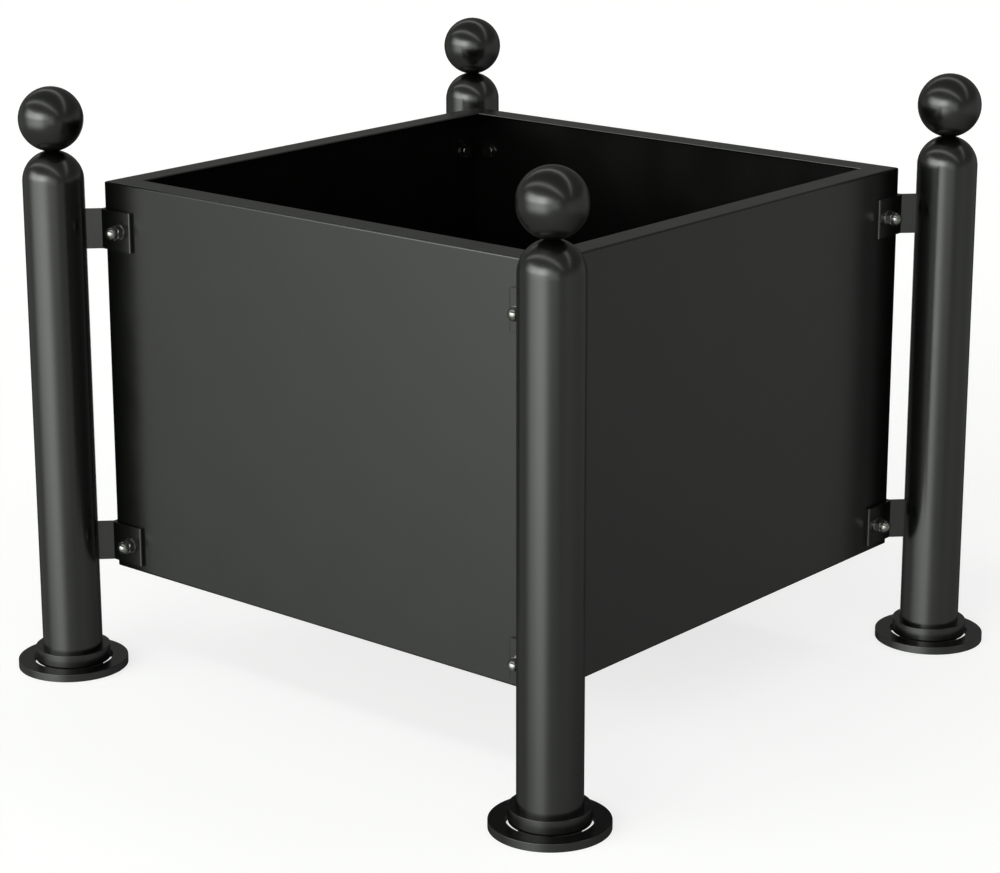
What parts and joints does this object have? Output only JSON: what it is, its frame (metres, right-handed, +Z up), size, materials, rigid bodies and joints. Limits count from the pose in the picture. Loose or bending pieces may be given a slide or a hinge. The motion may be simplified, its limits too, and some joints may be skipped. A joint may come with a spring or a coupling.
{
  "type": "versailles planter",
  "caption": "Square steel planter box bolted by brackets to round domed posts with ball finials on disc feet.",
  "frame": {"origin": "centre of the footprint on the ground", "axes": "+Z up; the four walls face -Y (front), +X (right), +Y (back) and -X (left); the posts stand on the diagonals"},
  "size_m": [0.9326, 0.9326, 0.75],
  "materials": {
    "powder_coat": "near-black anthracite powder coat, satin to semi-gloss, on steel",
    "stainless_steel": "bright turned stainless steel"
  },
  "bodies": {
    "root": {"wall_front": "powder_coat", "wall_right": "powder_coat", "wall_back": "powder_coat", "wall_left": "powder_coat", "floor_panel": "powder_coat", "post_front_right": "powder_coat", "post_back_right": "powder_coat", "post_back_left": "powder_coat", "post_front_left": "powder_coat", "ball_front_right": "powder_coat", "ball_back_right": "powder_coat", "ball_back_left": "powder_coat", "ball_front_left": "powder_coat", "collar_front_right": "powder_coat", "collar_back_right": "powder_coat", "collar_back_left": "powder_coat", "collar_front_left": "powder_coat", "base_front_right": "powder_coat", "base_back_right": "powder_coat", "base_back_left": "powder_coat", "base_front_left": "powder_coat", "angle_upper_front_right": "powder_coat", "angle_upper_back_right": "powder_coat", "angle_upper_back_left": "powder_coat", "angle_upper_front_left": "powder_coat", "angle_lower_front_right": "powder_coat", "angle_lower_back_right": "powder_coat", "angle_lower_back_left": "powder_coat", "angle_lower_front_left": "powder_coat", "web_upper_front_right": "powder_coat", "web_upper_back_right": "powder_coat", "web_upper_back_left": "powder_coat", "web_upper_front_left": "powder_coat", "web_lower_front_right": "powder_coat", "web_lower_back_right": "powder_coat", "web_lower_back_left": "powder_coat", "web_lower_front_left": "powder_coat", "bolts": "stainless_steel", "inner_washers": "stainless_steel", "outer_washers": "stainless_steel", "cap_nuts": "stainless_steel"}
  },
  "joints": []
}
